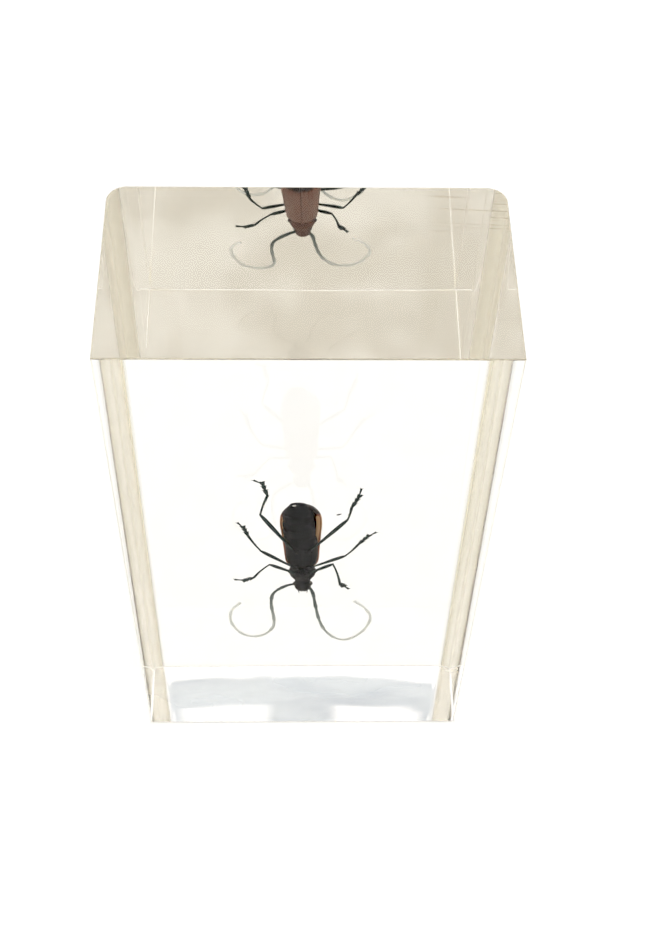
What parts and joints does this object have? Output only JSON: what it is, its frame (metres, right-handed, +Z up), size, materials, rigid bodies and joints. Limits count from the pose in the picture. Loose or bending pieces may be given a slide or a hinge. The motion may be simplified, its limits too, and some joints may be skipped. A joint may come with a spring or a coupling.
{
  "type": "insect in resin block",
  "caption": "Upright clear resin block with rounded rear edges, holding a small longhorn beetle head down with its belly to the front.",
  "frame": {"origin": "centre of the flat foot that the block stands on", "axes": "+Z up along the block's height, +X across its width to the beetle's right, +Y through its thickness, from the front that shows the beetle's belly to the back"},
  "size_m": [0.04, 0.0224, 0.075],
  "materials": {
    "clear_resin": "cast and polished clear polyester resin, faintly yellow",
    "black_shell": "black insect cuticle with a faint violet sheen",
    "wing_shell": "reddish brown insect cuticle, translucent orange at the side margins",
    "limb_shell": "black insect cuticle with a dark teal metallic sheen"
  },
  "bodies": {
    "root": {"resin_front": "clear_resin", "resin_back": "clear_resin", "head": "black_shell", "pronotum": "black_shell", "abdomen": "black_shell", "wing_case_left": "wing_shell", "wing_case_right": "wing_shell", "leg_front_left": "limb_shell", "leg_front_right": "limb_shell", "leg_middle_left": "limb_shell", "leg_middle_right": "limb_shell", "leg_hind_left": "limb_shell", "leg_hind_right": "limb_shell", "antenna_left": "limb_shell", "antenna_right": "limb_shell"}
  },
  "joints": []
}
